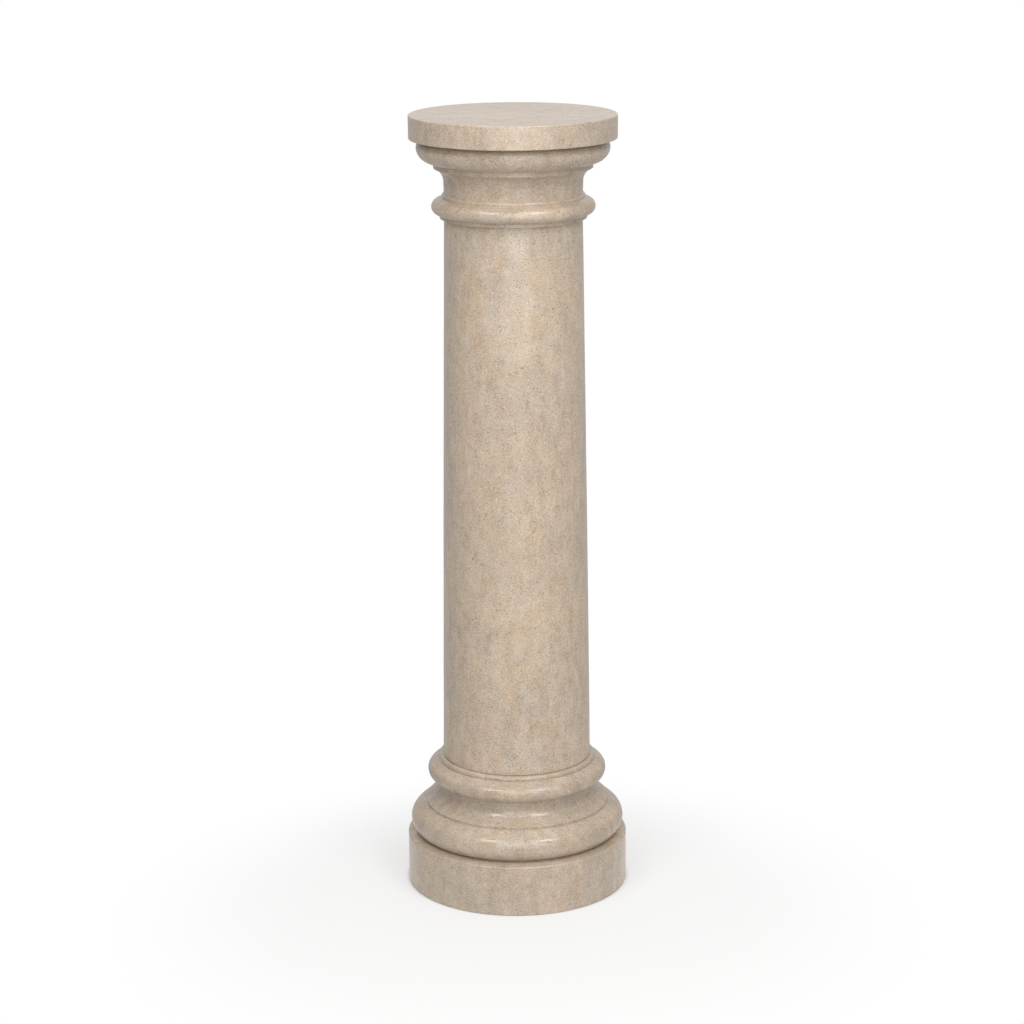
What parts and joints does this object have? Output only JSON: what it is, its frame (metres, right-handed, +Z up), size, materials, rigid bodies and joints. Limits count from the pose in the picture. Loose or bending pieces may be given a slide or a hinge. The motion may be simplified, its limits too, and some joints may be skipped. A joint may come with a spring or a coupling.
{
  "type": "doric column",
  "caption": "Turned beige limestone column with a round plinth and torus base, a plain tapering shaft and a round capital, made to stand alone and carry an ornament.",
  "frame": {"origin": "centre of the underside of the plinth, on the floor", "axes": "+Z up along the column's axis, -Y towards the viewer, +X to the right"},
  "size_m": [0.285, 0.285, 1],
  "materials": {
    "base_stone": "honed beige limestone",
    "shaft_stone": "honed beige limestone",
    "capital_stone": "honed beige limestone"
  },
  "bodies": {
    "root": {"base": "base_stone", "shaft": "shaft_stone", "capital": "capital_stone"}
  },
  "joints": []
}
